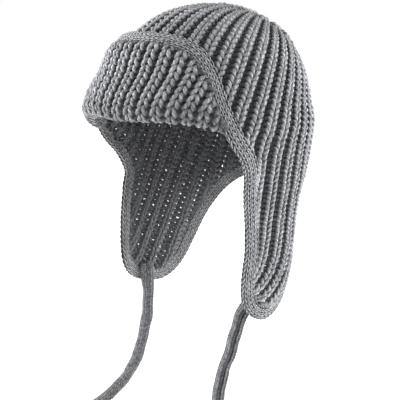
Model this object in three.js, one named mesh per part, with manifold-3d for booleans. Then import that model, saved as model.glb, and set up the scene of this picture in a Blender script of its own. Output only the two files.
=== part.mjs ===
import * as THREE from "three";
import Module from "manifold-3d";

// Knit trapper hat: a ribbed crown that leans back, a front flap turned up against it, two ear flaps
// with ties, and a smooth knitted band along every free edge.
// Millimetres, +Z up, the face looks along -Y, the wearer's left is +X.
// The origin is where the top of the head meets the inside of the crown.

// The knit
const RIBS = 44;
const COLUMNS_PER_RIB = 3;
const KNIT = 4;
const RELIEF = 1.5;
const GAP = 0.3;

// The crown's own axis, which the ribs run out from, leans back
const LEAN = THREE.MathUtils.degToRad(27);
const HEART = new THREE.Vector3(0, 9, -80);
const QUARTER = 133;
const CROWN_ROWS = [0.04, 0.12, 0.22, 0.34, 0.46, 0.58, 0.7, 0.84, 1];
const RELIEF_STARTS = 0.05;
const RELIEF_FULL = 0.25;

// The outer face over the rib tops, from the highest point down
const SECTIONS = [
  { height: 7, halfWidth: 0, halfDepth: 0, centre: 12.5 },
  { height: 2.8, halfWidth: 24.5, halfDepth: 28.5, centre: 12.5 },
  { height: -5, halfWidth: 42, halfDepth: 48.5, centre: 12.5 },
  { height: -17, halfWidth: 57.5, halfDepth: 66.5, centre: 12.5 },
  { height: -32.5, halfWidth: 68.5, halfDepth: 80, centre: 12 },
  { height: -50.5, halfWidth: 76, halfDepth: 88, centre: 11.5 },
  { height: -69.5, halfWidth: 81.5, halfDepth: 95, centre: 8.5 },
  { height: -90.5, halfWidth: 87.5, halfDepth: 101, centre: 5.5 },
  { height: -112, halfWidth: 86.5, halfDepth: 100, centre: 4.5 },
  { height: -136, halfWidth: 83, halfDepth: 96.5, centre: 4 },
  { height: -160, halfWidth: 79, halfDepth: 91, centre: 3 },
  { height: -188, halfWidth: 76.5, halfDepth: 88.5, centre: 3 },
  { height: -217, halfWidth: 75.5, halfDepth: 84, centre: 4.5 },
  { height: -260, halfWidth: 71, halfDepth: 75, centre: 4.5 },
];

// Height of the crown's lower edge on either side, by the angle round from the front
const BRIM = [
  { angle: 0, left: -78.5, right: -78.5 },
  { angle: 15, left: -77.5, right: -78 },
  { angle: 26, left: -77, right: -80 },
  { angle: 38, left: -78, right: -84.5 },
  { angle: 50, left: -81, right: -91.5 },
  { angle: 56, left: -85, right: -96 },
  { angle: 60, left: -90, right: -99.5 },
  { angle: 64, left: -95.5, right: -102.5 },
  { angle: 70, left: -100.5, right: -105 },
  { angle: 76, left: -104, right: -108.5 },
  { angle: 100, left: -116, right: -118 },
  { angle: 125, left: -131, right: -131 },
  { angle: 150, left: -149, right: -149 },
];
const REAR_SEAM = 150;

// Front flap: it hooks under the crown's edge and stands off the crown
const FOLD_DEPTH = 4.9;
const FLAP_STANDOFF = 1;
const FLAP_ROWS = 6;
const FLAP_LEAST = 5;
const FLAP_REACH = 54;

// Ear flaps: how far each rib sweeps forward, in degrees for each millimetre down
const EAR_ROWS = 9;
const EAR_SWEEP = { left: 0.09, right: 0.22 };
const EAR_LEAST = 3;
const EAR_FRONT = 67;

// Middle of the edge band from the front centre round each side to the nape: the angle, the height
// and how far it stands off the outer face
const BAND_WIDTH = 11.5;
const BAND_THICKNESS = 4;
const BAND_STEP = 8.4;
const BAND = [
  { left: 0, leftHeight: -23, right: 0, rightHeight: -23, standoff: 3.7 },
  { left: 17.5, leftHeight: -23.5, right: 17.5, rightHeight: -23.5, standoff: 3.7 },
  { left: 28.5, leftHeight: -26, right: 28.5, rightHeight: -26, standoff: 3.7 },
  { left: 36.5, leftHeight: -29, right: 36.5, rightHeight: -29, standoff: 3.7 },
  { left: 42, leftHeight: -33.5, right: 42, rightHeight: -33.5, standoff: 3.7 },
  { left: 46, leftHeight: -40.5, right: 46, rightHeight: -40.5, standoff: 3.7 },
  { left: 49.3, leftHeight: -50, right: 49.3, rightHeight: -50.5, standoff: 3.7 },
  { left: 52, leftHeight: -59.5, right: 52.2, rightHeight: -60.5, standoff: 3.7 },
  { left: 55, leftHeight: -69, right: 55.5, rightHeight: -71, standoff: 3.6 },
  { left: 58, leftHeight: -78, right: 58.8, rightHeight: -81.5, standoff: 3.4 },
  { left: 61, leftHeight: -87, right: 62.2, rightHeight: -92, standoff: 3.2 },
  { left: 64.3, leftHeight: -95.5, right: 65.4, rightHeight: -101, standoff: 3 },
  { left: 67.5, leftHeight: -103, right: 68.6, rightHeight: -108, standoff: 2.7 },
  { left: 70.3, leftHeight: -112, right: 71.5, rightHeight: -114.5, standoff: 1.2 },
  { left: 72.4, leftHeight: -123, right: 74.8, rightHeight: -122.5, standoff: -1 },
  { left: 73.8, leftHeight: -137, right: 78.2, rightHeight: -135.5, standoff: -2.6 },
  { left: 75.2, leftHeight: -147, right: 79, rightHeight: -146, standoff: -3.2 },
  { left: 76.5, leftHeight: -156, right: 75.8, rightHeight: -156, standoff: -3.2 },
  { left: 78.1, leftHeight: -174, right: 71.8, rightHeight: -173, standoff: -3.2 },
  { left: 78.2, leftHeight: -190, right: 68.5, rightHeight: -190, standoff: -3.2 },
  { left: 76.1, leftHeight: -207, right: 65.4, rightHeight: -206.5, standoff: -3.2 },
  { left: 75.6, leftHeight: -220, right: 64, rightHeight: -219.5, standoff: -3.2 },
  { left: 77.2, leftHeight: -231, right: 66.4, rightHeight: -229.5, standoff: -3.2 },
  { left: 82, leftHeight: -239.8, right: 74.5, rightHeight: -239, standoff: -3.2 },
  { left: 89, leftHeight: -244.7, right: 85.5, rightHeight: -245.2, standoff: -3.2 },
  { left: 96.5, leftHeight: -245.3, right: 97.5, rightHeight: -248, standoff: -3.2 },
  { left: 104.5, leftHeight: -241, right: 106.5, rightHeight: -243.6, standoff: -3.2 },
  { left: 111.8, leftHeight: -232.5, right: 113.4, rightHeight: -234.5, standoff: -3.2 },
  { left: 119.5, leftHeight: -217, right: 120.3, rightHeight: -218, standoff: -3.2 },
  { left: 126.8, leftHeight: -198, right: 127.2, rightHeight: -198, standoff: -3.2 },
  { left: 133.5, leftHeight: -183.5, right: 133.5, rightHeight: -183.5, standoff: -3.2 },
  { left: 142, leftHeight: -168.5, right: 142, rightHeight: -168.5, standoff: -3.2 },
  { left: 150, leftHeight: -158.5, right: 150, rightHeight: -158.5, standoff: -3.2 },
  { left: 159, leftHeight: -151.5, right: 159, rightHeight: -151.5, standoff: -3.2 },
  { left: 169, leftHeight: -147.5, right: 169, rightHeight: -147.5, standoff: -3.2 },
  { left: 180, leftHeight: -146, right: 180, rightHeight: -146, standoff: -3.2 },
];

// Ties, sewn to the inside of the flap tips, as points down the middle of each
const TIE_WIDTH = 10;
const TIE_THICKNESS = 8;
const TIE_SIDES = 10;
const TIE_STEPS = 26;
const TIE_LEFT = [
  [63.6, -1, -229],
  [62.3, -5.2, -235.3],
  [60.6, -8.4, -241.1],
  [59.3, -11.1, -246.9],
  [57.6, -14.6, -258.1],
  [55.8, -18, -270.2],
  [54.3, -21.1, -281.6],
  [52.9, -23.9, -291.2],
  [51.8, -26.2, -301.9],
  [50.8, -28.1, -312.7],
  [49.8, -30.1, -324.6],
  [49, -31.8, -336.5],
];
const TIE_RIGHT = [
  [-61.3, -9.2, -229],
  [-60.7, -8.7, -236.5],
  [-60.8, -7.9, -247.6],
  [-60.9, -7.8, -258.7],
  [-61.4, -8.6, -269.7],
  [-62, -9.6, -280.5],
  [-63.2, -11.4, -296.3],
  [-65.6, -14.6, -313.6],
  [-69.1, -19.5, -328.8],
  [-73, -25.2, -342.1],
  [-77.8, -31.9, -353.2],
  [-82.9, -39.2, -361.3],
  [-88, -46.5, -368],
  [-93.1, -53.8, -373.6],
  [-98.1, -61, -378.6],
];

const YARN = "#8d8f93";
const YARN_SHADE = "#838589";

const wasm = await Module();
wasm.setup();

function degrees(radians) {
  return THREE.MathUtils.radToDeg(radians);
}

function radians(angle) {
  return THREE.MathUtils.degToRad(angle);
}

// A smooth curve through a table's rows, placed at the given knots
function curveThrough(rows, knots, names) {
  const slopes = rows.map((row, i) => {
    const before = Math.max(i - 1, 0);
    const after = Math.min(i + 1, rows.length - 1);
    const span = knots[after] - knots[before];
    return Object.fromEntries(names.map((n) => [n, (rows[after][n] - rows[before][n]) / span]));
  });
  return (x) => {
    let i = 0;
    while (i < rows.length - 2 && knots[i + 1] < x) {
      i += 1;
    }
    const span = knots[i + 1] - knots[i];
    const t = (x - knots[i]) / span;
    const near = 2 * t ** 3 - 3 * t ** 2 + 1;
    const leave = (t ** 3 - 2 * t ** 2 + t) * span;
    const arrive = (t ** 3 - t ** 2) * span;
    const value = (n) =>
      near * rows[i][n] +
      (1 - near) * rows[i + 1][n] +
      leave * slopes[i][n] +
      arrive * slopes[i + 1][n];
    return Object.fromEntries(names.map((n) => [n, value(n)]));
  };
}

// Straight lines between a fine table's rows, sorted by one column that rises
function along(rows, by, x) {
  let low = 0;
  let high = rows.length - 1;
  while (high - low > 1) {
    const middle = (low + high) >> 1;
    if (rows[middle][by] <= x) {
      low = middle;
    } else {
      high = middle;
    }
  }
  const share = (x - rows[low][by]) / (rows[high][by] - rows[low][by]);
  const names = Object.keys(rows[low]);
  const mix = (n) => THREE.MathUtils.lerp(rows[low][n], rows[high][n], share);
  return Object.fromEntries(names.map((n) => [n, mix(n)]));
}

// The sections again, fine enough for straight lines, from the lowest up
function fineSections() {
  const first = SECTIONS[1];
  const mirrored = { ...first, halfWidth: -first.halfWidth, halfDepth: -first.halfDepth };
  const rows = [mirrored, ...SECTIONS];
  const size = (row) => (row.halfWidth + row.halfDepth) / 2;
  const knots = [0];
  for (let i = 1; i < rows.length; i += 1) {
    const drop = rows[i].height - rows[i - 1].height;
    knots.push(knots[i - 1] + Math.hypot(drop, size(rows[i]) - size(rows[i - 1])));
  }
  const curve = curveThrough(rows, knots, ["height", "halfWidth", "halfDepth", "centre"]);
  const count = 600;
  const step = (knots[knots.length - 1] - knots[1]) / count;
  const fine = Array.from({ length: count + 1 }, (_, i) => curve(knots[1] + i * step));
  return fine.reverse();
}

const FINE = fineSections();
const LOWEST = FINE[0].height;
const HIGHEST = SECTIONS[0].height;

function sectionAt(height) {
  return along(FINE, "height", THREE.MathUtils.clamp(height, LOWEST, HIGHEST));
}

// How far out a point is: 1 on the outer face, less inside it
function spread(point) {
  const section = sectionAt(point.z);
  const least = 0.05;
  const across = point.x / Math.max(section.halfWidth, least);
  const deep = (point.y - section.centre) / Math.max(section.halfDepth, least);
  return point.z > HIGHEST ? 2 : Math.hypot(across, deep);
}

function outward(point) {
  const step = 0.25;
  const base = point.clone();
  base.z = Math.min(base.z, HIGHEST - step);
  const change = (x, y, z) => {
    const ahead = spread(base.clone().add(new THREE.Vector3(x, y, z)));
    const behind = spread(base.clone().sub(new THREE.Vector3(x, y, z)));
    return ahead - behind;
  };
  return new THREE.Vector3(change(step, 0, 0), change(0, step, 0), change(0, 0, step)).normalize();
}

function wallPoint(angle, height) {
  const section = sectionAt(height);
  const x = section.halfWidth * Math.sin(radians(angle));
  const y = section.centre - section.halfDepth * Math.cos(radians(angle));
  return new THREE.Vector3(x, y, height);
}

function angleOf(point) {
  const section = sectionAt(point.z);
  const across = point.x / section.halfWidth;
  return degrees(Math.atan2(across, (section.centre - point.y) / section.halfDepth));
}

// The point on the outer face on one rib, a given way down from the drawn-in top
function knitPoint(rib, way) {
  const up = new THREE.Vector3(0, Math.sin(LEAN), Math.cos(LEAN));
  const front = new THREE.Vector3(0, -Math.cos(LEAN), Math.sin(LEAN));
  const turn = radians(rib);
  const aside = new THREE.Vector3(Math.sin(turn), 0, 0).addScaledVector(front, Math.cos(turn));
  const slope = (Math.min(way / QUARTER, 1) * Math.PI) / 2;
  const start = HEART.clone().addScaledVector(up, -Math.max(way - QUARTER, 0));
  const ray = aside.multiplyScalar(Math.sin(slope)).addScaledVector(up, Math.cos(slope));
  let near = 0;
  let far = 160;
  for (let i = 0; i < 36; i += 1) {
    const middle = (near + far) / 2;
    if (spread(start.clone().addScaledVector(ray, middle)) < 1) {
      near = middle;
    } else {
      far = middle;
    }
  }
  return start.addScaledVector(ray, near);
}

// Where along a line some height or angle is reached, by halving
function reached(from, to, test) {
  let inside = from;
  let outside = to;
  for (let i = 0; i < 30; i += 1) {
    const middle = (inside + outside) / 2;
    if (test(middle)) {
      inside = middle;
    } else {
      outside = middle;
    }
  }
  return (inside + outside) / 2;
}

// The band's middle line and frames down one side
function bandSteps(side) {
  const girth = radians(85);
  const level = `${side}Height`;
  const knots = [0];
  for (let i = 1; i < BAND.length; i += 1) {
    const turn = (BAND[i][side] - BAND[i - 1][side]) * girth;
    knots.push(knots[i - 1] + Math.hypot(turn, BAND[i][level] - BAND[i - 1][level]));
  }
  const curve = curveThrough(BAND, knots, [side, level, "standoff"]);
  const sign = side === "left" ? 1 : -1;
  const place = (way) => {
    const row = curve(way);
    const base = wallPoint(sign * row[side], row[level]);
    return base.addScaledVector(outward(base), row.standoff);
  };
  const whole = knots[knots.length - 1];
  const count = Math.round(whole / BAND_STEP);
  return Array.from({ length: count + 1 }, (_, i) => {
    const way = (i * whole) / count;
    const middle = place(way);
    const before = place(Math.max(way - 1, 0));
    const after = place(Math.min(way + 1, whole));
    const ahead = after.sub(before).normalize();
    const normal = outward(middle);
    const across = new THREE.Vector3().crossVectors(ahead, normal).normalize();
    across.multiplyScalar(sign);
    return { middle, across, normal, standoff: curve(way).standoff };
  });
}

// Where a band's edge lies on the outer face; plus one is the side towards the fold and the free edges
function bandEdge(steps, which, clearance) {
  const reach = which * (BAND_WIDTH / 2 + clearance);
  return steps.map((step) => {
    const point = step.middle.clone().addScaledVector(step.across, reach);
    point.addScaledVector(outward(point), -step.standoff);
    return { angle: Math.abs(angleOf(point)), height: point.z };
  });
}

const SIDES = ["left", "right"];
const STEPS = Object.fromEntries(SIDES.map((side) => [side, bandSteps(side)]));
const FREE = Object.fromEntries(SIDES.map((side) => [side, bandEdge(STEPS[side], 1, 2 * GAP)]));
const SEWN = Object.fromEntries(SIDES.map((side) => [side, bandEdge(STEPS[side], -1, 2 * GAP)]));
const MIDDLE = Object.fromEntries(SIDES.map((side) => [side, bandEdge(STEPS[side], 0, 0)]));

// Height of a line of edge points at an angle, where the line passes it first from one end
function edgeHeight(edge, wanted) {
  const ends = [edge[0].angle, edge[edge.length - 1].angle];
  const angle = THREE.MathUtils.clamp(wanted, Math.min(...ends), Math.max(...ends));
  for (let i = 1; i < edge.length; i += 1) {
    const a = edge[i - 1];
    const b = edge[i];
    if ((a.angle - angle) * (b.angle - angle) <= 0 && a.angle !== b.angle) {
      return THREE.MathUtils.lerp(a.height, b.height, (angle - a.angle) / (b.angle - a.angle));
    }
  }
  return edge[edge.length - 1].height;
}

function rimHeight(angle, side) {
  const size = Math.abs(angle);
  if (size <= REAR_SEAM) {
    return along(BRIM, "angle", size)[side];
  }
  const fromNape = [...SEWN[side]].reverse();
  return edgeHeight(fromNape, size);
}

function sideOf(angle) {
  return angle >= 0 ? "left" : "right";
}

// Ribs: every third column is the bottom of a valley
function relief(column) {
  return column % COLUMNS_PER_RIB === 0 ? -RELIEF : RELIEF;
}

function columnAngle(column) {
  return (column * 360) / (RIBS * COLUMNS_PER_RIB);
}

// One closed skin over two grids of points that face each other, open or joined round
function closedSkin(outer, inner, joined, caps) {
  const rows = outer.length;
  const columns = outer[0].length;
  const points = [...outer.flat(), ...inner.flat()];
  const inside = rows * columns;
  const faces = [];
  const quad = (a, b, c, d) => faces.push([a, b, c], [a, c, d]);
  const at = (i, j) => i * columns + (j % columns);
  const lastColumn = joined ? columns : columns - 1;
  for (let i = 0; i < rows - 1; i += 1) {
    for (let j = 0; j < lastColumn; j += 1) {
      quad(at(i, j), at(i + 1, j), at(i + 1, j + 1), at(i, j + 1));
      quad(
        inside + at(i, j),
        inside + at(i, j + 1),
        inside + at(i + 1, j + 1),
        inside + at(i + 1, j),
      );
    }
  }
  for (let j = 0; j < lastColumn; j += 1) {
    const bottom = rows - 1;
    quad(at(bottom, j), inside + at(bottom, j), inside + at(bottom, j + 1), at(bottom, j + 1));
    if (!caps) {
      quad(at(0, j), at(0, j + 1), inside + at(0, j + 1), inside + at(0, j));
    }
  }
  if (caps) {
    points.push(caps.outer, caps.inner);
    const top = points.length - 2;
    for (let j = 0; j < lastColumn; j += 1) {
      faces.push([top, at(0, j), at(0, j + 1)]);
      faces.push([top + 1, inside + at(0, j + 1), inside + at(0, j)]);
    }
  }
  if (!joined) {
    const end = columns - 1;
    for (let i = 0; i < rows - 1; i += 1) {
      quad(at(i, 0), inside + at(i, 0), inside + at(i + 1, 0), at(i + 1, 0));
      quad(at(i, end), at(i + 1, end), inside + at(i + 1, end), inside + at(i, end));
    }
  }
  return solid(points, faces);
}

// A closed geometry, turned the right way out whichever way its faces were listed
function solid(points, faces) {
  const volume = faces.reduce((sum, [a, b, c]) => {
    const cross = new THREE.Vector3().crossVectors(points[b], points[c]);
    return sum + points[a].dot(cross);
  }, 0);
  const order = volume < 0 ? faces.map(([a, b, c]) => [a, c, b]) : faces;
  const geometry = new THREE.BufferGeometry();
  const flat = new Float32Array(points.flatMap((p) => [p.x, p.y, p.z]));
  geometry.setAttribute("position", new THREE.BufferAttribute(flat, 3));
  geometry.setIndex(order.flat());
  geometry.computeVertexNormals();
  return geometry;
}

function toManifold(geometry) {
  const vertProperties = geometry.attributes.position.array;
  const triVerts = new Uint32Array(geometry.index.array);
  return new wasm.Manifold(new wasm.Mesh({ numProp: 3, vertProperties, triVerts }));
}

// What is left of one solid outside another, as its largest piece
function cutAway(geometry, cutter) {
  const pieces = toManifold(geometry).subtract(toManifold(cutter)).decompose();
  pieces.sort((a, b) => b.volume() - a.volume());
  const mesh = pieces[0].getMesh();
  const cut = new THREE.BufferGeometry();
  cut.setAttribute("position", new THREE.BufferAttribute(mesh.vertProperties, 3));
  cut.setIndex([...mesh.triVerts]);
  cut.computeVertexNormals();
  return cut;
}

// A ring of section points swept along, closed on itself or ended with flat caps
function sweptRings(rings, joined) {
  const count = rings.length;
  const size = rings[0].length;
  const points = rings.flat();
  const faces = [];
  const last = joined ? count : count - 1;
  for (let i = 0; i < last; i += 1) {
    const next = (i + 1) % count;
    for (let j = 0; j < size; j += 1) {
      const side = (j + 1) % size;
      faces.push([i * size + j, next * size + j, next * size + side]);
      faces.push([i * size + j, next * size + side, i * size + side]);
    }
  }
  if (!joined) {
    const outline = rings.map((ring) => capTriangles(ring));
    outline[0].forEach(([a, b, c]) => faces.push([a, b, c]));
    const start = (count - 1) * size;
    outline[count - 1].forEach(([a, b, c]) => faces.push([start + a, start + c, start + b]));
  }
  return solid(points, faces);
}

// Triangles across a ring that is nearly flat
function capTriangles(ring) {
  const centre = ring.reduce((sum, p) => sum.add(p), new THREE.Vector3()).divideScalar(ring.length);
  const normal = new THREE.Vector3();
  ring.forEach((p, i) => {
    const a = p.clone().sub(centre);
    const b = ring[(i + 1) % ring.length].clone().sub(centre);
    normal.add(a.cross(b));
  });
  normal.normalize();
  const across = ring[1].clone().sub(ring[0]).normalize();
  const up = new THREE.Vector3().crossVectors(normal, across);
  const flat = ring.map((p) => {
    const from = p.clone().sub(centre);
    return new THREE.Vector2(from.dot(across), from.dot(up));
  });
  return THREE.ShapeUtils.triangulateShape(flat, []);
}

function crownColumn(column) {
  const rib = columnAngle(column);
  const above = (way) => {
    const point = knitPoint(rib, way);
    const angle = angleOf(point);
    return point.z > rimHeight(angle, sideOf(angle));
  };
  return { column, rib, way: reached(60, 240, above) };
}

const COLUMNS = Array.from({ length: RIBS * COLUMNS_PER_RIB }, (_, c) => crownColumn(c));

function crown() {
  const outer = [];
  const inner = [];
  CROWN_ROWS.forEach((share) => {
    const depth = THREE.MathUtils.smoothstep(share, RELIEF_STARTS, RELIEF_FULL);
    const rows = COLUMNS.map(({ column, rib, way }) => {
      const base = knitPoint(rib, share * way);
      const normal = outward(base);
      const lift = relief(column) * depth - RELIEF;
      const face = base.clone().addScaledVector(normal, lift);
      return [face, face.clone().addScaledVector(normal, -KNIT)];
    });
    outer.push(rows.map(([face]) => face));
    inner.push(rows.map(([, back]) => back));
  });
  const top = knitPoint(0, 0);
  const normal = outward(top);
  const caps = {
    outer: top.clone().addScaledVector(normal, -RELIEF),
    inner: top.clone().addScaledVector(normal, -RELIEF - KNIT),
  };
  return closedSkin(outer, inner, true, caps);
}

// The flap's section in one rib column: down its inner face, under the crown's edge, and up outside
function flapRing({ column, rib, way }) {
  const hem = way + FOLD_DEPTH;
  const base = knitPoint(rib, hem);
  const side = sideOf(angleOf(base));
  const below = (at) => {
    const point = knitPoint(rib, at);
    return point.z < edgeHeight(FREE[side], Math.abs(angleOf(point)));
  };
  const top = reached(hem, hem - 90, below);
  if (hem - top < FLAP_LEAST + FOLD_DEPTH || Math.abs(angleOf(base)) > FLAP_REACH) {
    return null;
  }
  const outerFace = FLAP_STANDOFF + KNIT + 2 * RELIEF;
  const wave = relief(column);
  const shares = Array.from({ length: FLAP_ROWS }, (_, i) => i / (FLAP_ROWS - 1));
  const leaf = (share, low, stand) => {
    const point = knitPoint(rib, THREE.MathUtils.lerp(top, low, share));
    return point.addScaledVector(outward(point), stand);
  };
  const lowInside = way + GAP;
  const lowOutside = hem - 5;
  const inside = shares.map((s) => leaf(s, lowInside, FLAP_STANDOFF + RELIEF + wave));
  const outside = shares.map((s) => leaf(s, lowOutside, outerFace - RELIEF + wave));
  const normal = outward(base);
  const down = knitPoint(rib, hem + 1).sub(knitPoint(rib, hem - 1)).normalize();
  const hook = (out, drop) =>
    base.clone().addScaledVector(normal, out).addScaledVector(down, drop + 0.15 * wave);
  const seat = GAP - FOLD_DEPTH;
  const underside = [
    leaf(1, lowInside, 0.5 - 2 * RELIEF - KNIT),
    hook(-5.6, seat + 2.6),
    hook(-2.6, -0.6),
    hook(0.8, -0.1),
    hook(4.4, -0.8),
    hook(6.6, -2.6),
  ];
  return [...inside, ...underside, ...outside.reverse()];
}

function frontFlap() {
  const half = Math.round((RIBS * COLUMNS_PER_RIB) / 2);
  const order = [...COLUMNS.slice(half), ...COLUMNS.slice(0, half)];
  const near = order.filter(({ rib }) => Math.abs(((rib + 180) % 360) - 180) < 80);
  const rings = near.map((entry) => flapRing(entry)).filter((ring) => ring !== null);
  return sweptRings(rings, false);
}

function insideEdge(edge, angle, height) {
  let crossings = 0;
  for (let i = 1; i < edge.length; i += 1) {
    const a = edge[i - 1];
    const b = edge[i];
    if (a.height > height !== b.height > height) {
      const share = (height - a.height) / (b.height - a.height);
      if (angle > THREE.MathUtils.lerp(a.angle, b.angle, share)) {
        crossings += 1;
      }
    }
  }
  return crossings % 2 === 1;
}

// One rib column of an ear flap, from the crown's edge down to the middle of the band
function earColumn({ column, rib, way }, side) {
  const sign = side === "left" ? 1 : -1;
  const start = knitPoint(rib, way);
  const angle = Math.abs(angleOf(start));
  const height = start.z - GAP;
  const line = (drop) => ({ angle: angle - EAR_SWEEP[side] * drop, height: height - drop });
  const below = MIDDLE[side].filter((point) => point.height < -95);
  const test = (drop) => {
    const at = line(drop);
    return insideEdge(below, at.angle, at.height);
  };
  if (angle < EAR_FRONT || angle > REAR_SEAM || !test(1)) {
    return null;
  }
  let end = 1;
  while (test(end + 1)) {
    end += 1;
  }
  end = reached(end, end + 1, test);
  if (end < EAR_LEAST) {
    return null;
  }
  const points = Array.from({ length: EAR_ROWS }, (_, i) => {
    const at = line((end * i) / (EAR_ROWS - 1));
    const base = wallPoint(sign * at.angle, at.height);
    const normal = outward(base);
    const face = base.clone().addScaledVector(normal, relief(column) - RELIEF);
    return [face, face.clone().addScaledVector(normal, -KNIT)];
  });
  return points;
}

function earFlap(side) {
  const sign = side === "left" ? 1 : -1;
  const own = COLUMNS.filter(({ rib }) => Math.sin(radians(rib)) * sign > 0);
  const columns = own.map((entry) => earColumn(entry, side)).filter((entry) => entry !== null);
  const rows = Array.from({ length: EAR_ROWS }, (_, i) => i);
  const outer = rows.map((i) => columns.map((points) => points[i][0]));
  const inner = rows.map((i) => columns.map((points) => points[i][1]));
  return cutAway(closedSkin(outer, inner, false, null), BAND_ROOM);
}

// The band's section swept all round the hat's edge
function bandSweep(half, face) {
  const section = [
    [half, 0.4 * face],
    [0.8 * half, face],
    [-0.8 * half, face],
    [-half, 0.4 * face],
    [-half, -0.4 * face],
    [-0.8 * half, -face],
    [0.8 * half, -face],
    [half, -0.4 * face],
  ];
  const ring = ({ middle, across, normal }) =>
    section.map(([aside, out]) =>
      middle.clone().addScaledVector(across, aside).addScaledVector(normal, out),
    );
  const left = STEPS.left.map(ring);
  const right = STEPS.right.map(ring).reverse();
  return sweptRings([...left, ...right.slice(1, -1)], true);
}

const BAND_ROOM = bandSweep(BAND_WIDTH / 2 + 1.5 * GAP, 2 * (KNIT + 2 * RELIEF));

function tie(route) {
  const path = new THREE.CatmullRomCurve3(route.map((p) => new THREE.Vector3(...p)));
  const outline = Array.from({ length: TIE_SIDES }, (_, i) => {
    const turn = (2 * Math.PI * i) / TIE_SIDES;
    const x = (TIE_THICKNESS / 2) * Math.cos(turn);
    return new THREE.Vector2(x, (TIE_WIDTH / 2) * Math.sin(turn));
  });
  const settings = { steps: TIE_STEPS, bevelEnabled: false, extrudePath: path };
  return new THREE.ExtrudeGeometry(new THREE.Shape(outline), settings);
}

function named(name, geometry, color) {
  const material = new THREE.MeshStandardMaterial({ color, roughness: 0.95, metalness: 0 });
  const mesh = new THREE.Mesh(geometry, material);
  mesh.name = name;
  return mesh;
}

const hat = new THREE.Group();
hat.add(named("crown", crown(), YARN));
hat.add(named("front_flap", frontFlap(), YARN));
hat.add(named("ear_flap_left", earFlap("left"), YARN));
hat.add(named("ear_flap_right", earFlap("right"), YARN));
hat.add(named("edge_band", bandSweep(BAND_WIDTH / 2, BAND_THICKNESS / 2), YARN_SHADE));
hat.add(named("tie_left", tie(TIE_LEFT), YARN_SHADE));
hat.add(named("tie_right", tie(TIE_RIGHT), YARN_SHADE));

export default hat;
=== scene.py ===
"""Knitted trapper hat, dressed over its solids, loop by loop. Metres, +Z up, the face looks along -Y."""

import bmesh
import bpy
import numpy as np
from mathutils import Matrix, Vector


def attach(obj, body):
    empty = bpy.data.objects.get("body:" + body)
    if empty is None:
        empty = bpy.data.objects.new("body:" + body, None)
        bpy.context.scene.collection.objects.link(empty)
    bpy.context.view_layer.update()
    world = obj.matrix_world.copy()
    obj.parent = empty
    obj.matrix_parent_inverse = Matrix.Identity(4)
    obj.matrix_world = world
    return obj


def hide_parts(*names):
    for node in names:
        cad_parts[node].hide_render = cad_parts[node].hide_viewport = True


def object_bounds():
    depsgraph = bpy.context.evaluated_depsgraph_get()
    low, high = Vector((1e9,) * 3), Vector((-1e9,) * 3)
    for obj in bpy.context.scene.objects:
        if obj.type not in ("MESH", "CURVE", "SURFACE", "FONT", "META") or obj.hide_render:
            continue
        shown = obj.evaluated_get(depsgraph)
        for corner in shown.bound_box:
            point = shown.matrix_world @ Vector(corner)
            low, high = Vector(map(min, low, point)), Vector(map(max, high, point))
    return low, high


bl_info = {
    "name": "Knitted trapper hat",
    "version": (1, 0, 0),
    "blender": (4, 5, 0),
    "location": "View3D > Sidebar > Hat",
    "description": "Knits the hat's cloth, edge band and ties over the packed solids",
    "category": "Object",
}

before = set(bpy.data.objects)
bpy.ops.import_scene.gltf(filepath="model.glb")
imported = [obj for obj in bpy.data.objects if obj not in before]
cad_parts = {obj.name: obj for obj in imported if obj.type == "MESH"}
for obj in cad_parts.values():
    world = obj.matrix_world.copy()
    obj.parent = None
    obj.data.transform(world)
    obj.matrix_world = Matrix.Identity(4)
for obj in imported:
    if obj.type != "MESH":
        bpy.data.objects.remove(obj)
CAD_BOX = [list(corner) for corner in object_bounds()]
MM = 0.001

# The outer face over the rib tops, from the highest point down: height, half width, half depth, centre
SECTIONS = np.array([
    (7, 0, 0, 12.5),
    (2.8, 24.5, 28.5, 12.5),
    (-5, 42, 48.5, 12.5),
    (-17, 57.5, 66.5, 12.5),
    (-32.5, 68.5, 80, 12),
    (-50.5, 76, 88, 11.5),
    (-69.5, 81.5, 95, 8.5),
    (-90.5, 87.5, 101, 5.5),
    (-112, 86.5, 100, 4.5),
    (-136, 83, 96.5, 4),
    (-160, 79, 91, 3),
    (-188, 76.5, 88.5, 3),
    (-217, 75.5, 84, 4.5),
    (-260, 71, 75, 4.5),
])

# The ribs run out from an axis through HEART, and straight down from QUARTER millimetres below the top.
# The axis leans back by LEAN degrees, and by up to TOP_LEAN more within TOP_REACH millimetres of the top.
HEART = np.array([0, 9, -80.0])
QUARTER = 133.0
LEAN = 31.5
TOP_LEAN = 16.0
TOP_REACH = 120

# Further out from the axis than any part of the hat
BEYOND = 160.0

# Height of the crown's lower edge by the angle round from the front: angle, left, right
BRIM = np.array([
    (0, -78.5, -78.5),
    (15, -77.5, -78),
    (26, -77, -80),
    (38, -78, -84.5),
    (50, -81, -91.5),
    (56, -85, -96),
    (60, -90, -99.5),
    (64, -95.5, -102.5),
    (70, -100.5, -105),
    (76, -104, -108.5),
    (100, -116, -118),
    (125, -131, -131),
    (150, -149, -149),
])

# Degrees round from the front where the ear flaps begin, and where the nape does
EAR_FRONT = 64
NAPE = 150

# Lowest height of the band over the front flap, and highest of its stretch round an ear flap
FLAP_LEVEL = -104
EAR_LEVEL = -95

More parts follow.
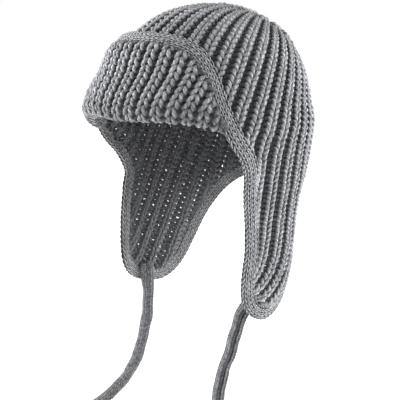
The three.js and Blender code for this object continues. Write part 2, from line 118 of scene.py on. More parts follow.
# Middle of the edge band from the front centre to the nape:
# left angle, left height, right angle, right height, how far it stands off the outer face
BAND = np.array([
    (0, -23, 0, -23, 3.7),
    (17.5, -23.5, 17.5, -23.5, 3.7),
    (28.5, -26, 28.5, -26, 3.7),
    (36.5, -29, 36.5, -29, 3.7),
    (42, -33.5, 42, -33.5, 3.7),
    (46, -40.5, 46, -40.5, 3.7),
    (49.3, -50, 49.3, -50.5, 3.7),
    (52, -59.5, 52.2, -60.5, 3.7),
    (55, -69, 55.5, -71, 3.6),
    (58, -78, 58.8, -81.5, 3.4),
    (61, -87, 62.2, -92, 3.2),
    (64.3, -95.5, 65.4, -101, 3),
    (67.5, -103, 68.6, -108, 2.7),
    (70.3, -112, 71.5, -114.5, 1.2),
    (72.4, -123, 74.8, -122.5, -1),
    (73.8, -137, 78.2, -135.5, -2.6),
    (75.2, -147, 79, -146, -3.2),
    (76.5, -156, 75.8, -156, -3.2),
    (78.1, -174, 71.8, -173, -3.2),
    (78.2, -190, 68.5, -190, -3.2),
    (76.1, -207, 65.4, -206.5, -3.2),
    (75.6, -220, 64, -219.5, -3.2),
    (77.2, -231, 66.4, -229.5, -3.2),
    (82, -239.8, 74.5, -239, -3.2),
    (89, -244.7, 85.5, -245.2, -3.2),
    (96.5, -245.3, 97.5, -248, -3.2),
    (104.5, -241, 106.5, -243.6, -3.2),
    (111.8, -232.5, 113.4, -234.5, -3.2),
    (119.5, -217, 120.3, -218, -3.2),
    (126.8, -198, 127.2, -198, -3.2),
    (133.5, -183.5, 133.5, -183.5, -3.2),
    (142, -168.5, 142, -168.5, -3.2),
    (150, -158.5, 150, -158.5, -3.2),
    (159, -151.5, 159, -151.5, -3.2),
    (169, -147.5, 169, -147.5, -3.2),
    (180, -146, 180, -146, -3.2),
])

# The ties' routes, as the solids have them
TIE_LEFT = np.array([
    (63.6, -1, -229),
    (62.3, -5.2, -235.3),
    (60.6, -8.4, -241.1),
    (59.3, -11.1, -246.9),
    (57.6, -14.6, -258.1),
    (55.8, -18, -270.2),
    (54.3, -21.1, -281.6),
    (52.9, -23.9, -291.2),
    (51.8, -26.2, -301.9),
    (50.8, -28.1, -312.7),
    (49.8, -30.1, -324.6),
    (49, -31.8, -336.5),
])
TIE_RIGHT = np.array([
    (-61.3, -9.2, -229),
    (-60.7, -8.7, -236.5),
    (-60.8, -7.9, -247.6),
    (-60.9, -7.8, -258.7),
    (-61.4, -8.6, -269.7),
    (-62, -9.6, -280.5),
    (-63.2, -11.4, -296.3),
    (-65.6, -14.6, -313.6),
    (-69.1, -19.5, -328.8),
    (-73, -25.2, -342.1),
    (-77.8, -31.9, -353.2),
    (-82.9, -39.2, -361.3),
    (-88, -46.5, -368),
    (-93.1, -53.8, -373.6),
    (-98.1, -61, -378.6),
])


def linear(colour):
    """An sRGB hex colour as the four linear numbers that Blender works in."""
    parts = [int(colour[i:i + 2], 16) / 255 for i in (1, 3, 5)]
    return [c / 12.92 if c <= 0.04045 else ((c + 0.055) / 1.055) ** 2.4 for c in parts] + [1.0]


def smooth(x):
    """A soft step from 0 to 1."""
    x = np.clip(x, 0, 1)
    return x * x * (3 - 2 * x)


# The hat's outer form, in millimetres

def through(rows, knots, x):
    """A smooth curve through a table's rows, at the places x along its knots."""
    last = len(rows) - 1
    row = np.arange(last + 1)
    ahead = np.minimum(row + 1, last)
    behind = np.maximum(row - 1, 0)
    slopes = (rows[ahead] - rows[behind]) / (knots[ahead] - knots[behind])[:, None]
    i = np.clip(np.searchsorted(knots, x) - 1, 0, last - 1)
    span = (knots[i + 1] - knots[i])[:, None]
    t = (x - knots[i])[:, None] / span
    near = 2 * t ** 3 - 3 * t ** 2 + 1
    leave = (t ** 3 - 2 * t ** 2 + t) * span
    arrive = (t ** 3 - t ** 2) * span
    return near * rows[i] + (1 - near) * rows[i + 1] + leave * slopes[i] + arrive * slopes[i + 1]


def fine_sections():
    """The sections close enough together for straight lines, from the lowest up."""
    mirrored = SECTIONS[1] * (1, -1, -1, 1)
    rows = np.vstack([mirrored, SECTIONS])
    size = (rows[:, 1] + rows[:, 2]) / 2
    steps = np.hypot(np.diff(rows[:, 0]), np.diff(size))
    knots = np.concatenate([[0], np.cumsum(steps)])
    return through(rows, knots, np.linspace(knots[1], knots[-1], 601))[::-1]


FINE = fine_sections()
TOP = SECTIONS[0, 0]

# Least half width that a point is compared with, and the step for finding the way out
LEAST = 0.05
STEP = 0.25


def section(z):
    """Half width, half depth and centre of the outer face at a height."""
    return [np.interp(z, FINE[:, 0], FINE[:, i]) for i in (1, 2, 3)]


def spread(p):
    """How far out a point is: 1 on the outer face, less inside it."""
    width, depth, centre = section(p[..., 2])
    across = p[..., 0] / np.maximum(width, LEAST)
    deep = (p[..., 1] - centre) / np.maximum(depth, LEAST)
    return np.where(p[..., 2] > TOP, 2.0, np.hypot(across, deep))


def unit(v):
    """The same directions, each one long."""
    return v / np.maximum(np.linalg.norm(v, axis=-1, keepdims=True), 1e-9)


def outward(p):
    """The direction straight out of the hat at a point."""
    base = p.copy()
    base[..., 2] = np.minimum(base[..., 2], TOP - STEP)
    steps = STEP * np.eye(3)
    return unit(np.stack([spread(base + s) - spread(base - s) for s in steps], axis=-1))


def wall(angle, z):
    """The outer face at an angle round from the front and a height."""
    width, depth, centre = section(z)
    turn = np.radians(angle)
    return np.stack([width * np.sin(turn), centre - depth * np.cos(turn), z + 0 * turn], axis=-1)


def angle_of(p):
    """The angle round from the front, and the height, of a point near the outer face."""
    width, depth, centre = section(p[..., 2])
    across = p[..., 0] / np.maximum(width, LEAST)
    deep = (centre - p[..., 1]) / np.maximum(depth, LEAST)
    return np.degrees(np.arctan2(across, deep)), p[..., 2]


def knit_point(rib, way):
    """The outer face on a rib, a given way down from the drawn-in top."""
    turn = np.radians(rib)
    lean = np.radians(LEAN + TOP_LEAN * np.clip(1 - way / TOP_REACH, 0, 1) ** 2)
    axis = np.stack([0 * lean, np.sin(lean), np.cos(lean)], axis=-1)
    aside = np.stack([np.sin(turn), -np.cos(turn) * np.cos(lean), np.cos(turn) * np.sin(lean)], axis=-1)
    slope = np.radians(90 * np.clip(way / QUARTER, 0, 1))[..., None]
    start = HEART - np.maximum(way - QUARTER, 0)[..., None] * axis
    ray = aside * np.sin(slope) + axis * np.cos(slope)
    near = np.zeros(rib.shape)
    far = np.full(rib.shape, BEYOND)
    for _ in range(30):
        middle = (near + far) / 2
        inside = spread(start + middle[..., None] * ray) < 1
        near = np.where(inside, middle, near)
        far = np.where(inside, far, middle)
    return start + near[..., None] * ray


# The edge band's middle line

MEAN_RADIUS = 85

# How many of the band's points are compared at once, to save memory
BATCH = 40


def band_line(side):
    """Points of the band's middle line down one side, a millimetre apart, with their standoff."""
    columns = [0, 1, 4] if side > 0 else [2, 3, 4]
    rows = BAND[:, columns]
    steps = np.hypot(np.diff(rows[:, 0]) * np.radians(MEAN_RADIUS), np.diff(rows[:, 1]))
    knots = np.concatenate([[0], np.cumsum(steps)])
    fine = through(rows, knots, np.linspace(0, knots[-1], int(knots[-1])))
    base = wall(side * fine[:, 0], fine[:, 1])
    return fine, base + fine[:, 2:3] * outward(base)


LINES = {side: band_line(side) for side in (1, -1)}
BAND_POINTS = np.vstack([LINES[1][1], LINES[-1][1]])


def to_band(p):
    """How far points are from the band's middle line."""
    flat = p.reshape(-1, 3)
    least = np.full(len(flat), 1e9)
    for start in range(0, len(BAND_POINTS), BATCH):
        gaps = flat[:, None, :] - BAND_POINTS[None, start:start + BATCH, :]
        least = np.minimum(least, np.sqrt((gaps ** 2).sum(-1)).min(1))
    return least.reshape(p.shape[:-1])


def band_height(angle, side):
    """Height of the band's middle line over the front flap, by the angle."""
    fine = LINES[side][0]
    rows = fine[fine[:, 1] > FLAP_LEVEL]
    return np.interp(angle, rows[:, 0], rows[:, 1])


def rim(angle):
    """Height of the crown's lower edge all round."""
    size = np.abs(angle)
    level = np.where(angle >= 0, np.interp(size, BRIM[:, 0], BRIM[:, 1]),
                     np.interp(size, BRIM[:, 0], BRIM[:, 2]))
    # The nape's edge is the band's own line, from a little before the nape on
    fine = LINES[1][0]
    nape = fine[(fine[:, 0] > NAPE - 9) & (fine[:, 1] > -175)]
    return np.where(size > NAPE, np.interp(size, nape[:, 0], nape[:, 1]), level)


def in_ear(angle, z):
    """Whether a point lies behind the band's line down an ear flap."""
    inside = np.zeros(angle.shape, bool)
    for side in (1, -1):
        fine = LINES[side][0]
        fine = fine[fine[:, 1] < EAR_LEVEL]
        size = side * angle
        odd = np.zeros(angle.shape, bool)
        for a, b in zip(fine[:-1], fine[1:]):
            level = (a[1] > z) != (b[1] > z)
            share = (z - a[1]) / np.where(level, b[1] - a[1], 1)
            odd ^= level & (size > a[0] + share * (b[0] - a[0]))
        inside |= odd & (size > 0)
    return inside


# Yarn

# How each kind of stitch runs: its height in rows, and in stitch widths how far its legs bulge and how
# far they stand apart
KNIT = {"height": 0.8, "bulge": 0.26, "apart": 0.035}
PURL = {"height": 0.88, "bulge": 0.24, "apart": 0.04}
SMOOTH = {"height": 1.05, "bulge": 0.25, "apart": -0.02}

# Sides of a strand of yarn, and the thickness of a cut end as a share of the yarn's
SIDES = 6
CUT_END = 0.05

# How deep under its outer face each cloth's painted shade is darkest, in millimetres, and how strongly the
# painted shade darkens its strands' sides
RIB_SHADING = {"full": 8, "shade": 0.8}
BAND_SHADING = {"full": 1.15, "shade": 1.1}
TIE_SHADING = {"full": 1.5, "shade": 0}

# No two stitches are alike: how far they stray aside, in widths of a rib or of a fine stitch, in height
# as a share, and outward in millimetres
RIB_STRAY = (0.012, 0.05, 0.12)
FINE_STRAY = (0.02, 0.05, 0.06)


def stitch(width, depth, level, count, height, bulge, apart):
    """One stitch of yarn from foot over head to foot: sideways, up, out and thickness.

    It bends through the cloth by its depth, and stands off the cloth's middle by its level.
    """
    phase = np.linspace(-np.pi, np.pi, count, endpoint=False)
    ramp = smooth((np.pi - np.abs(phase)) / (0.24 * np.pi)) if level else 1.0
    aside = width * (phase / (2 * np.pi) + bulge * np.sin(2 * phase) + apart * np.sin(phase))
    up = height * np.cos(phase)
    out = ramp * (level - depth * np.cos(2 * phase))
    # The yarn is drawn thin over the head, and swells down the legs and where a rib turns into a valley
    foot = smooth((np.abs(phase) / np.pi - 0.64) / 0.3) if level else 0
    thick = 0.64 + 0.42 * np.sin(phase) ** 4 + 0.78 * foot
    return aside, up, out, thick


def course(points, thick, normal, height):
    """A run of yarn as one table: its points, its thickness, the way out and the height of its middle."""
    return np.column_stack([points, thick, normal, height])


def mesh_of_yarn(name, runs, radius, full, shade):
    """A mesh object of tubes along the runs, each a course and whether it is a ring.

    It keeps the turn round and the length along the yarn, and how sunk each place is in the cloth: from 0
    at the outer face to 1 where it is `full` millimetres deep.
    """
    curve = bpy.data.curves.new(name, "CURVE")
    curve.dimensions = "3D"
    curve.bevel_depth = radius * MM
    curve.bevel_resolution = SIDES // 2 - 2
    lengths = []
    for table, ring in runs:
        points = table[:, :3]
        thick = table[:, 3].copy()
        if not ring:
            thick[[0, -1]] = CUT_END
        spline = curve.splines.new("POLY")
        spline.points.add(len(points) - 1)
        flat = np.column_stack([points * MM, np.ones(len(points))])
        spline.points.foreach_set("co", flat.ravel())
        spline.points.foreach_set("radius", thick)
        spline.use_cyclic_u = ring
        steps = np.linalg.norm(np.diff(points, axis=0), axis=1)
        lengths.append(np.concatenate([[0], np.cumsum(steps)]))
    holder = bpy.data.objects.new(name, curve)
    bpy.context.collection.objects.link(holder)
    graph = bpy.context.evaluated_depsgraph_get()
    mesh = bpy.data.meshes.new_from_object(holder.evaluated_get(graph), depsgraph=graph)
    bpy.data.objects.remove(holder)
    bpy.data.curves.remove(curve)
    along = np.repeat(np.concatenate(lengths), SIDES)
    if len(along) != len(mesh.vertices):
        raise RuntimeError(f"{name}: {len(mesh.vertices)} vertices, not {len(along)}")
    turn = np.tile(2 * np.pi * np.arange(SIDES) / SIDES, len(along) // SIDES)
    middle = np.repeat(np.vstack([table for table, ring in runs]), SIDES, axis=0)
    places = np.empty(3 * len(along), np.float32)
    mesh.vertices.foreach_get("co", places)
    aside = places.reshape(-1, 3) / MM - middle[:, :3]
    facing = (aside * middle[:, 4:7]).sum(1)
    # A strand's sides count as deeper than they are, so that the painted shade darkens them too
    level = middle[:, 7] + facing - shade * (np.linalg.norm(aside, axis=1) - facing)
    sunk = mesh.attributes.new("sunk", "FLOAT", "POINT")
    sunk.data.foreach_set("value", np.clip(-level / full, 0, 1))
    yarn = mesh.attributes.new("yarn", "FLOAT_VECTOR", "POINT")
    yarn.data.foreach_set("vector", np.column_stack([np.cos(turn), np.sin(turn), along]).ravel())
    mesh.shade_smooth()
    mesh.name = name
    piece = bpy.data.objects.new(name, mesh)
    bpy.context.collection.objects.link(piece)
    return piece


def kept_runs(table, keep, ring, least=6):
    """The stretches of a course that are kept, as runs of yarn with no fewer points than `least`."""
    if keep.all():
        return [(table, ring)]
    if not keep.any():
        return []
    if ring:
        start = int(np.argmin(keep))
        table, keep = (np.roll(a, -start, axis=0) for a in (table, keep))
    edges = np.flatnonzero(np.diff(np.concatenate([[0], keep.astype(int), [0]])))
    spans = [(a, b) for a, b in zip(edges[::2], edges[1::2]) if b - a >= least]
    return [(table[a:b], False) for a, b in spans]


def ribbed_course(first, last, count, share, settings, seed):
    """One course of one-by-one rib from one rib number to another: rib, up, out and thickness."""
    depth = settings.loop_depth
    relief = settings.rib_relief
    knit = stitch(share, depth, relief, settings.points_knit, **KNIT)
    purl = stitch(1 - share, depth, relief, settings.points_purl, **PURL)
    aside = np.concatenate([0.5 + knit[0], 1.0 + purl[0]])
    up = np.concatenate([knit[1], purl[1]])
    out = np.concatenate([knit[2], -purl[2]]) / MM
    thick = np.concatenate([knit[3], purl[3]])
    ribs = np.arange(first, last)
    random = np.random.default_rng(seed)
    stray = random.normal(0, 1, (3, len(ribs), 1))
    rib = (ribs[:, None] + aside + RIB_STRAY[0] * stray[0]) / count
    lift = up * (1 + RIB_STRAY[1] * stray[1])
    out = out + RIB_STRAY[2] * stray[2]
    return rib.ravel(), lift.ravel(), out.ravel(), np.tile(thick, len(ribs))


# Materials

# How much the plies and the fibres change a yarn's tone, and how far the plies stand out among the fibres
PLY_TONE = 0.16
FIBRE_TONE = 1.3
PLY_BUMP = 0.35

# The share of the deep tone, a painted shade, by how sunk a place is in the cloth, and how sunk the cloth's
# reverse is
SHADE_STOPS = ((0.03, 0), (0.2, 0.36), (0.42, 0.76), (0.6, 0.97))
REVERSE = 0.97


def add(tree, kind, settings=None, **links):
    """Adds a node with its settings, and links or fills its inputs, by name or as _0 by number."""
    node = tree.nodes.new(kind)
    for name, value in (settings or {}).items():
        setattr(node, name, value)
    for name, value in links.items():
        key = int(name[1:]) if name[0] == "_" and name[1:].isdigit() else name.replace("_", " ")
        if isinstance(value, bpy.types.NodeSocket):
            tree.links.new(value, node.inputs[key])
        else:
            node.inputs[key].default_value = value
    return node


def wool(name, light, dark, deep, back, ply, patch, mottling):
    """Knitting yarn, softly spun of acrylic and wool: matt, with twisted plies and a haze of fibres.

    It turns from light to dark along its plies, and down in the cloth it takes a painted shade towards its
    deep tone, of which the cloth's reverse takes the share `back`. Its plies turn once in `ply` millimetres,
    and its tone shifts by `mottling` in patches `patch` millimetres wide.
    """
    material = bpy.data.materials.new(name)
    material.use_nodes = True
    tree = material.node_tree
    tree.nodes.clear()
    yarn = add(tree, "ShaderNodeAttribute", {"attribute_name": "yarn"}).outputs["Vector"]
    place = add(tree, "ShaderNodeTexCoord").outputs["Object"]
    parts = add(tree, "ShaderNodeSeparateXYZ", Vector=yarn)
    turn = add(tree, "ShaderNodeMath", {"operation": "ARCTAN2"}, _0=parts.outputs["Y"],
               _1=parts.outputs["X"])
    # Three plies wind round the yarn and shade it where they meet
    plies = add(tree, "ShaderNodeMath", {"operation": "MULTIPLY"}, _0=turn.outputs[0], _1=3.0)
    run = add(tree, "ShaderNodeMath", {"operation": "MULTIPLY"}, _0=parts.outputs["Z"], _1=6 * np.pi / ply)
    wound = add(tree, "ShaderNodeMath", {"operation": "ADD"}, _0=plies.outputs[0], _1=run.outputs[0])
    wave = add(tree, "ShaderNodeMath", {"operation": "SINE"}, _0=wound.outputs[0])
    strands = add(tree, "ShaderNodeMath", {"operation": "MULTIPLY_ADD"}, _0=wave.outputs[0],
                  _1=PLY_TONE, _2=-PLY_TONE)
    # Fibres lie along the yarn. Real ones are about 0.02 mm apart, which wouldn't show, so they are drawn
    # about 0.4 of the yarn's radius apart and 2 mm long.
    lengths = add(tree, "ShaderNodeMapping", Vector=yarn, Scale=(1.6, 1.6, 0.35))
    fibres = add(tree, "ShaderNodeTexNoise", Vector=lengths.outputs[0], Scale=1.6, Detail=3.0, Roughness=0.6)
    tone = add(tree, "ShaderNodeMath", {"operation": "MULTIPLY_ADD"}, _0=fibres.outputs["Fac"],
               _1=FIBRE_TONE, _2=strands.outputs[0])
    patches = add(tree, "ShaderNodeTexNoise", Vector=place, Scale=1 / (patch * MM), Detail=2.0)
    mottle = add(tree, "ShaderNodeMath", {"operation": "MULTIPLY_ADD"}, _0=patches.outputs["Fac"],
                 _1=mottling, _2=-mottling / 2)
    both = add(tree, "ShaderNodeMath", {"operation": "ADD", "use_clamp": True}, _0=tone.outputs[0],
               _1=mottle.outputs[0])
    face = add(tree, "ShaderNodeMix", {"data_type": "RGBA"}, _0=both.outputs[0])
    face.inputs[6].default_value = linear(dark)
    face.inputs[7].default_value = linear(light)
    # Painted shade: in the valleys and on the cloth's reverse the yarn's colour is mixed towards its deep
    # tone by how sunk it is, and the rib tops keep their own tone
    sunk = add(tree, "ShaderNodeAttribute", {"attribute_name": "sunk"}).outputs["Fac"]
    painted_shade = add(tree, "ShaderNodeValToRGB", Fac=sunk)
    ramp = painted_shade.color_ramp
    ramp.interpolation = "EASE"
    for depth, share in SHADE_STOPS + ((REVERSE, back),):
        stop = ramp.elements.new(depth)
        stop.color = (share, share, share, 1)
    ramp.elements.remove(ramp.elements[0])
    ramp.elements.remove(ramp.elements[-1])
    colour = add(tree, "ShaderNodeMix", {"data_type": "RGBA"}, _0=painted_shade.outputs[0], _6=face.outputs[2])
    colour.inputs[7].default_value = linear(deep)
    height = add(tree, "ShaderNodeMath", {"operation": "MULTIPLY_ADD"}, _0=wave.outputs[0],
                 _1=PLY_BUMP, _2=fibres.outputs["Fac"])
    bump = add(tree, "ShaderNodeBump", Height=height.outputs[0], Strength=0.7, Distance=0.7 * MM)
    shader = add(tree, "ShaderNodeBsdfPrincipled", Normal=bump.outputs[0], Roughness=0.9,
                 Sheen_Weight=0.25, Sheen_Roughness=0.5, IOR=1.45)
    shader.inputs["Specular IOR Level"].default_value = 0.2
    tree.links.new(colour.outputs[2], shader.inputs["Base Color"])
    out = add(tree, "ShaderNodeOutputMaterial")
    tree.links.new(shader.outputs[0], out.inputs["Surface"])
    return material


def yarn_material(name):
    """The yarn by its name, made at its first use."""
    if name in bpy.data.materials:
        return bpy.data.materials[name]
    finish = bpy.context.scene.hat_finish
    # The chunky yarn looks soft and even, the fine one crisper and paler, and the worn one, which is
    # handled, darker and blotched. The patches are stronger than a real yarn's, so that they show.
    # Each has its light and dark tone, its deep tone of painted shade, its share `back` of that shade on the
    # cloth's reverse, its ply, its patches and its mottling.
    yarns = {
        "chunky_wool_yarn": (finish.yarn_light, finish.yarn_dark, finish.yarn_painted_shade, 0.74, 9.0, 7.69, 0.6),
        "fine_wool_yarn": (finish.trim_light, finish.trim_dark, finish.trim_painted_shade, 1.0, 5.0, 2.38, 0.8),
        "worn_wool_yarn": (finish.tie_light, finish.tie_dark, finish.trim_painted_shade, 1.0, 5.0, 2.38, 1.9),
    }
    return wool(name, *yarns[name])


def finish_piece(piece, yarn, node):
    """Gives a piece its yarn, hangs it on the root, and hides the solid that it stands for."""
    piece.data.materials.append(yarn_material(yarn))
    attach(piece, "root")
    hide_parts(node)


# Knitted tubes: the edge band and the ties

# Width of the groove down a tie as a share of the tie's
GROOVE_WIDTH = 0.13


def oval(width, thickness, power, groove=0.0):
    """A rounded section by its share of the way round: across, out, the way it faces, its groove's depth.

    It is an ellipse where the power is 2, and the boxier the higher it is.
    """
    turn = np.linspace(0, 2 * np.pi, 721)
    c = np.cos(turn)
    s = np.sin(turn)
    x = width / 2 * np.sign(c) * np.abs(c) ** (2 / power)
    y = thickness / 2 * np.sign(s) * np.abs(s) ** (2 / power)
    cut = y * groove * (y > 0) * np.exp(-(x / (GROOVE_WIDTH * width)) ** 2)
    y = y - cut
    steps = np.hypot(np.diff(x), np.diff(y))
    share = np.concatenate([[0], np.cumsum(steps)]) / steps.sum()
    dx = np.gradient(x, share)
    dy = np.gradient(y, share)
    size = np.maximum(np.hypot(dx, dy), 1e-9)
    table = np.column_stack([x, y, dy / size, -dx / size, cut])
    return lambda f: np.column_stack([np.interp(f % 1, share, table[:, i]) for i in range(5)])


def path_frames(points, across, closed):
    """Length along a path, and its points, across and facing directions, by length."""
    if closed:
        ahead = unit(np.roll(points, -1, axis=0) - np.roll(points, 1, axis=0))
    else:
        ahead = unit(np.gradient(points, axis=0))
    across = unit(across - (across * ahead).sum(-1, keepdims=True) * ahead)
    facing = np.cross(ahead, across)
    if closed:
        points, across, facing = (np.vstack([a, a[:1]]) for a in (points, across, facing))
    steps = np.linalg.norm(np.diff(points, axis=0), axis=1)
    length = np.concatenate([[0], np.cumsum(steps)])
    table = np.hstack([points, across, facing])

    def at(s):
        s = s % length[-1] if closed else np.clip(s, 0, length[-1])
        values = np.column_stack([np.interp(s, length, table[:, i]) for i in range(9)])
        return values[:, :3], unit(values[:, 3:6]), unit(values[:, 6:])
    return length[-1], at


# Depth under the fine cloth's outer face of a stitch's middle
FINE_MIDDLE = 1.1


def tube_runs(path, rows, wales, outline, spacing, depth, seed, size=None, relief=0, skew=0, count=8):
    """Rings of smooth knitting round a path, one for each place in rows; skew tilts them, in rows."""
    length, at = path
    random = np.random.default_rng(seed)
    aside, up, out, thick = stitch(1, 1, relief, count, **SMOOTH)
    runs = []
    for row in rows:
        stray = random.normal(0, 1, (3, wales, 1))
        share = ((np.arange(wales)[:, None] + 0.5 + aside + FINE_STRAY[0] * stray[0]) / wales).ravel()
        s = (row + spacing * up * (0.98 + FINE_STRAY[1] * stray[1])).ravel()
        s = s + skew * spacing * np.cos(2 * np.pi * share)
        lift = (depth * out + FINE_STRAY[2] * stray[2]).ravel()
        flat = outline(share)
        scale = 1 if size is None else size(s, length)[:, None]
        middle, across, facing = at(s)
        x = flat[:, :1] * scale + flat[:, 2:3] * lift[:, None]
        y = flat[:, 1:2] * scale + flat[:, 3:4] * lift[:, None]
        way_out = flat[:, 2:3] * across + flat[:, 3:4] * facing
        points = middle + x * across + y * facing
        # The groove's depth counts as sunk too, so the painted shade darkens the groove
        height = lift - FINE_MIDDLE - flat[:, 4]
        runs.append((course(points, np.tile(thick, wales), way_out, height), True))
    return runs


class HatKnit(bpy.types.PropertyGroup):
    """Sizes of the ribbed cloth."""

    ribs: bpy.props.IntProperty(
        name="Ribs", description="Ribs round the widest part", default=42)
    course: bpy.props.FloatProperty(
        name="Course", description="Height of a row of stitches", default=5.0 * MM, unit="LENGTH")
    yarn: bpy.props.FloatProperty(
        name="Yarn", description="Thickness of the yarn", default=3.5 * MM, unit="LENGTH")
    knit_share: bpy.props.FloatProperty(
        name="Rib share", description="How much of a rib's width is raised", default=0.61, subtype="FACTOR")
    flap_share: bpy.props.FloatProperty(
        name="Flap rib share", description="The same on the front flap, where the ribs lie flatter",
        default=0.68, subtype="FACTOR")
    rib_relief: bpy.props.FloatProperty(
        name="Rib relief", description="How far a rib stands from the cloth's middle",
        default=1.6 * MM, unit="LENGTH")
    loop_depth: bpy.props.FloatProperty(
        name="Loop depth", description="How far a stitch bends through the cloth",
        default=1.9 * MM, unit="LENGTH")
    middle: bpy.props.FloatProperty(
        name="Middle", description="Depth of the cloth's middle under its outer face",
        default=5.3 * MM, unit="LENGTH")
    points_knit: bpy.props.IntProperty(
        name="Rib points", description="Points of yarn in a raised stitch", default=12)
    points_purl: bpy.props.IntProperty(
        name="Valley points", description="Points of yarn in a sunk stitch", default=10)


class HatTrim(bpy.types.PropertyGroup):
    """Sizes of the smooth edge band and of the ties."""

    band_width: bpy.props.FloatProperty(
        name="Band width", description="Width of the edge band", default=11.5 * MM, unit="LENGTH")
    band_thickness: bpy.props.FloatProperty(
        name="Band thickness", description="Thickness of the edge band", default=4.2 * MM, unit="LENGTH")
    band_row: bpy.props.FloatProperty(
        name="Band row", description="Height of a row of the band's stitches",
        default=4.3 * MM, unit="LENGTH")
    band_yarn: bpy.props.FloatProperty(
        name="Band yarn", description="Thickness of the band's yarn", default=1.35 * MM, unit="LENGTH")
    band_wales: bpy.props.IntProperty(
        name="Band wales", description="Columns of stitches all round the band", default=7)
    tie_row: bpy.props.FloatProperty(
        name="Tie row", description="Height of a row of the ties' stitches",
        default=2.4 * MM, unit="LENGTH")
    tie_yarn: bpy.props.FloatProperty(
        name="Tie yarn", description="Thickness of the ties' yarn", default=1.35 * MM, unit="LENGTH")
    tie_wales: bpy.props.IntProperty(
        name="Tie wales", description="Columns of stitches all round a tie", default=8)
    tie_width: bpy.props.FloatProperty(
        name="Tie width", description="Width of a tie", default=10 * MM, unit="LENGTH")
    tie_thickness: bpy.props.FloatProperty(
        name="Tie thickness", description="Thickness of a tie", default=7.6 * MM, unit="LENGTH")


class HatFinish(bpy.types.PropertyGroup):
    """Colours of the yarn and of the stage, as sRGB hex values."""

    yarn_light: bpy.props.StringProperty(
        name="Yarn", description="Lighter tone of the chunky yarn", default="#bec0c4")
    yarn_dark: bpy.props.StringProperty(
        name="Yarn shade", description="Darker tone of the chunky yarn", default="#46484c")
    # Painted shade: the tone that the chunky yarn is painted towards in its valleys and on its reverse
    yarn_painted_shade: bpy.props.StringProperty(
        name="Yarn depth", description="Tone of the chunky yarn down in the valleys", default="#232427")
    trim_light: bpy.props.StringProperty(
        name="Trim", description="Lighter tone of the fine yarn", default="#d2d4d7")
    trim_dark: bpy.props.StringProperty(
        name="Trim shade", description="Darker tone of the fine yarn", default="#5a5c60")
    # Painted shade: the tone that the fine yarn and the ties are painted towards between their stitches
    trim_painted_shade: bpy.props.StringProperty(
        name="Trim depth", description="Tone of the fine yarn between its stitches", default="#1d1e20")
    tie_light: bpy.props.StringProperty(
        name="Tie", description="Lighter tone of the ties", default="#9c9ea2")
    tie_dark: bpy.props.StringProperty(
        name="Tie shade", description="Darker tone of the ties", default="#2e3034")
    floor: bpy.props.StringProperty(
        name="Floor", description="Colour of the floor", default="#ffffff")


class HatStage(bpy.types.PropertyGroup):
    """Where the camera and the lights stand."""

    azimuth: bpy.props.FloatProperty(
        name="Azimuth", description="Camera's angle round the hat", default=np.radians(45), subtype="ANGLE")
    elevation: bpy.props.FloatProperty(
        name="Elevation", description="Camera's angle above the level", default=np.radians(15),
        subtype="ANGLE")
    distance: bpy.props.FloatProperty(
        name="Distance", description="From the camera to its target", default=0.665, unit="LENGTH")
    target: bpy.props.FloatVectorProperty(
        name="Target", description="What the camera looks at", default=(0, 0, -0.1597), subtype="XYZ")
    lens: bpy.props.FloatProperty(
        name="Lens", description="Focal length in millimetres", default=69.3)


class HAT_OT_camera(bpy.types.Operator):
    """Sets the camera at the photograph's angle"""

    bl_idname = "hat.camera"
    bl_label = "Camera"

    def execute(self, context):
        stage = context.scene.hat_stage
        camera = bpy.data.objects.new("camera", bpy.data.cameras.new("camera"))
        context.collection.objects.link(camera)
        away = Vector((np.sin(stage.azimuth) * np.cos(stage.elevation),
                       -np.cos(stage.azimuth) * np.cos(stage.elevation),
                       np.sin(stage.elevation)))
        camera.location = Vector(stage.target) + stage.distance * away
        camera.rotation_euler = (-away).to_track_quat("-Z", "Y").to_euler()
        camera.data.sensor_width = 36
        camera.data.lens = stage.lens
        context.scene.camera = camera
        return {"FINISHED"}


# Each tie with its route, and the depth of the groove down its face as a share of its thickness. The left
# one rolls in from both sides.
TIES = (("tie_left", TIE_LEFT, 0.65), ("tie_right", TIE_RIGHT, 0.2))

# How far inside a tie's ends its first and last rows are
TIE_ENDS = 1.5

# The direction across both ties' faces
TIE_ACROSS = np.array([0.55, 0.83, 0.0])


def worn_line(route):
    """A tie's route as a smooth line, a point each millimetre, and the line of the worn tie beside it."""
    steps = np.linalg.norm(np.diff(route, axis=0), axis=1)
    knots = np.concatenate([[0], np.cumsum(steps)])
    fine = through(route, knots, np.linspace(0, knots[-1], int(knots[-1])))
    # A worn tie bends a little to and fro, but not where it is sewn on
    way = np.arange(len(fine))
    sway = 0.5 * np.sin(way / 8.5 + 2) + 0.3 * np.sin(way / 3.7)
    return fine, fine + (sway * smooth(way / 20))[:, None] * TIE_ACROSS


def tie_size(s, length):
    """A tie's size by its length, as a share: round ends, wide where it is sewn on, and a little uneven."""
    ends = np.sqrt(np.clip(np.minimum(s + 0.5, length + 0.5 - s) / 3.5, 0.06, 1))
    wide = 0.96 + 0.16 * (1 - smooth((s - 8) / 26))
    return ends * wide * (1 + 0.04 * np.sin(s / 6.3 + length) + 0.03 * np.sin(s / 2.9 + 1))


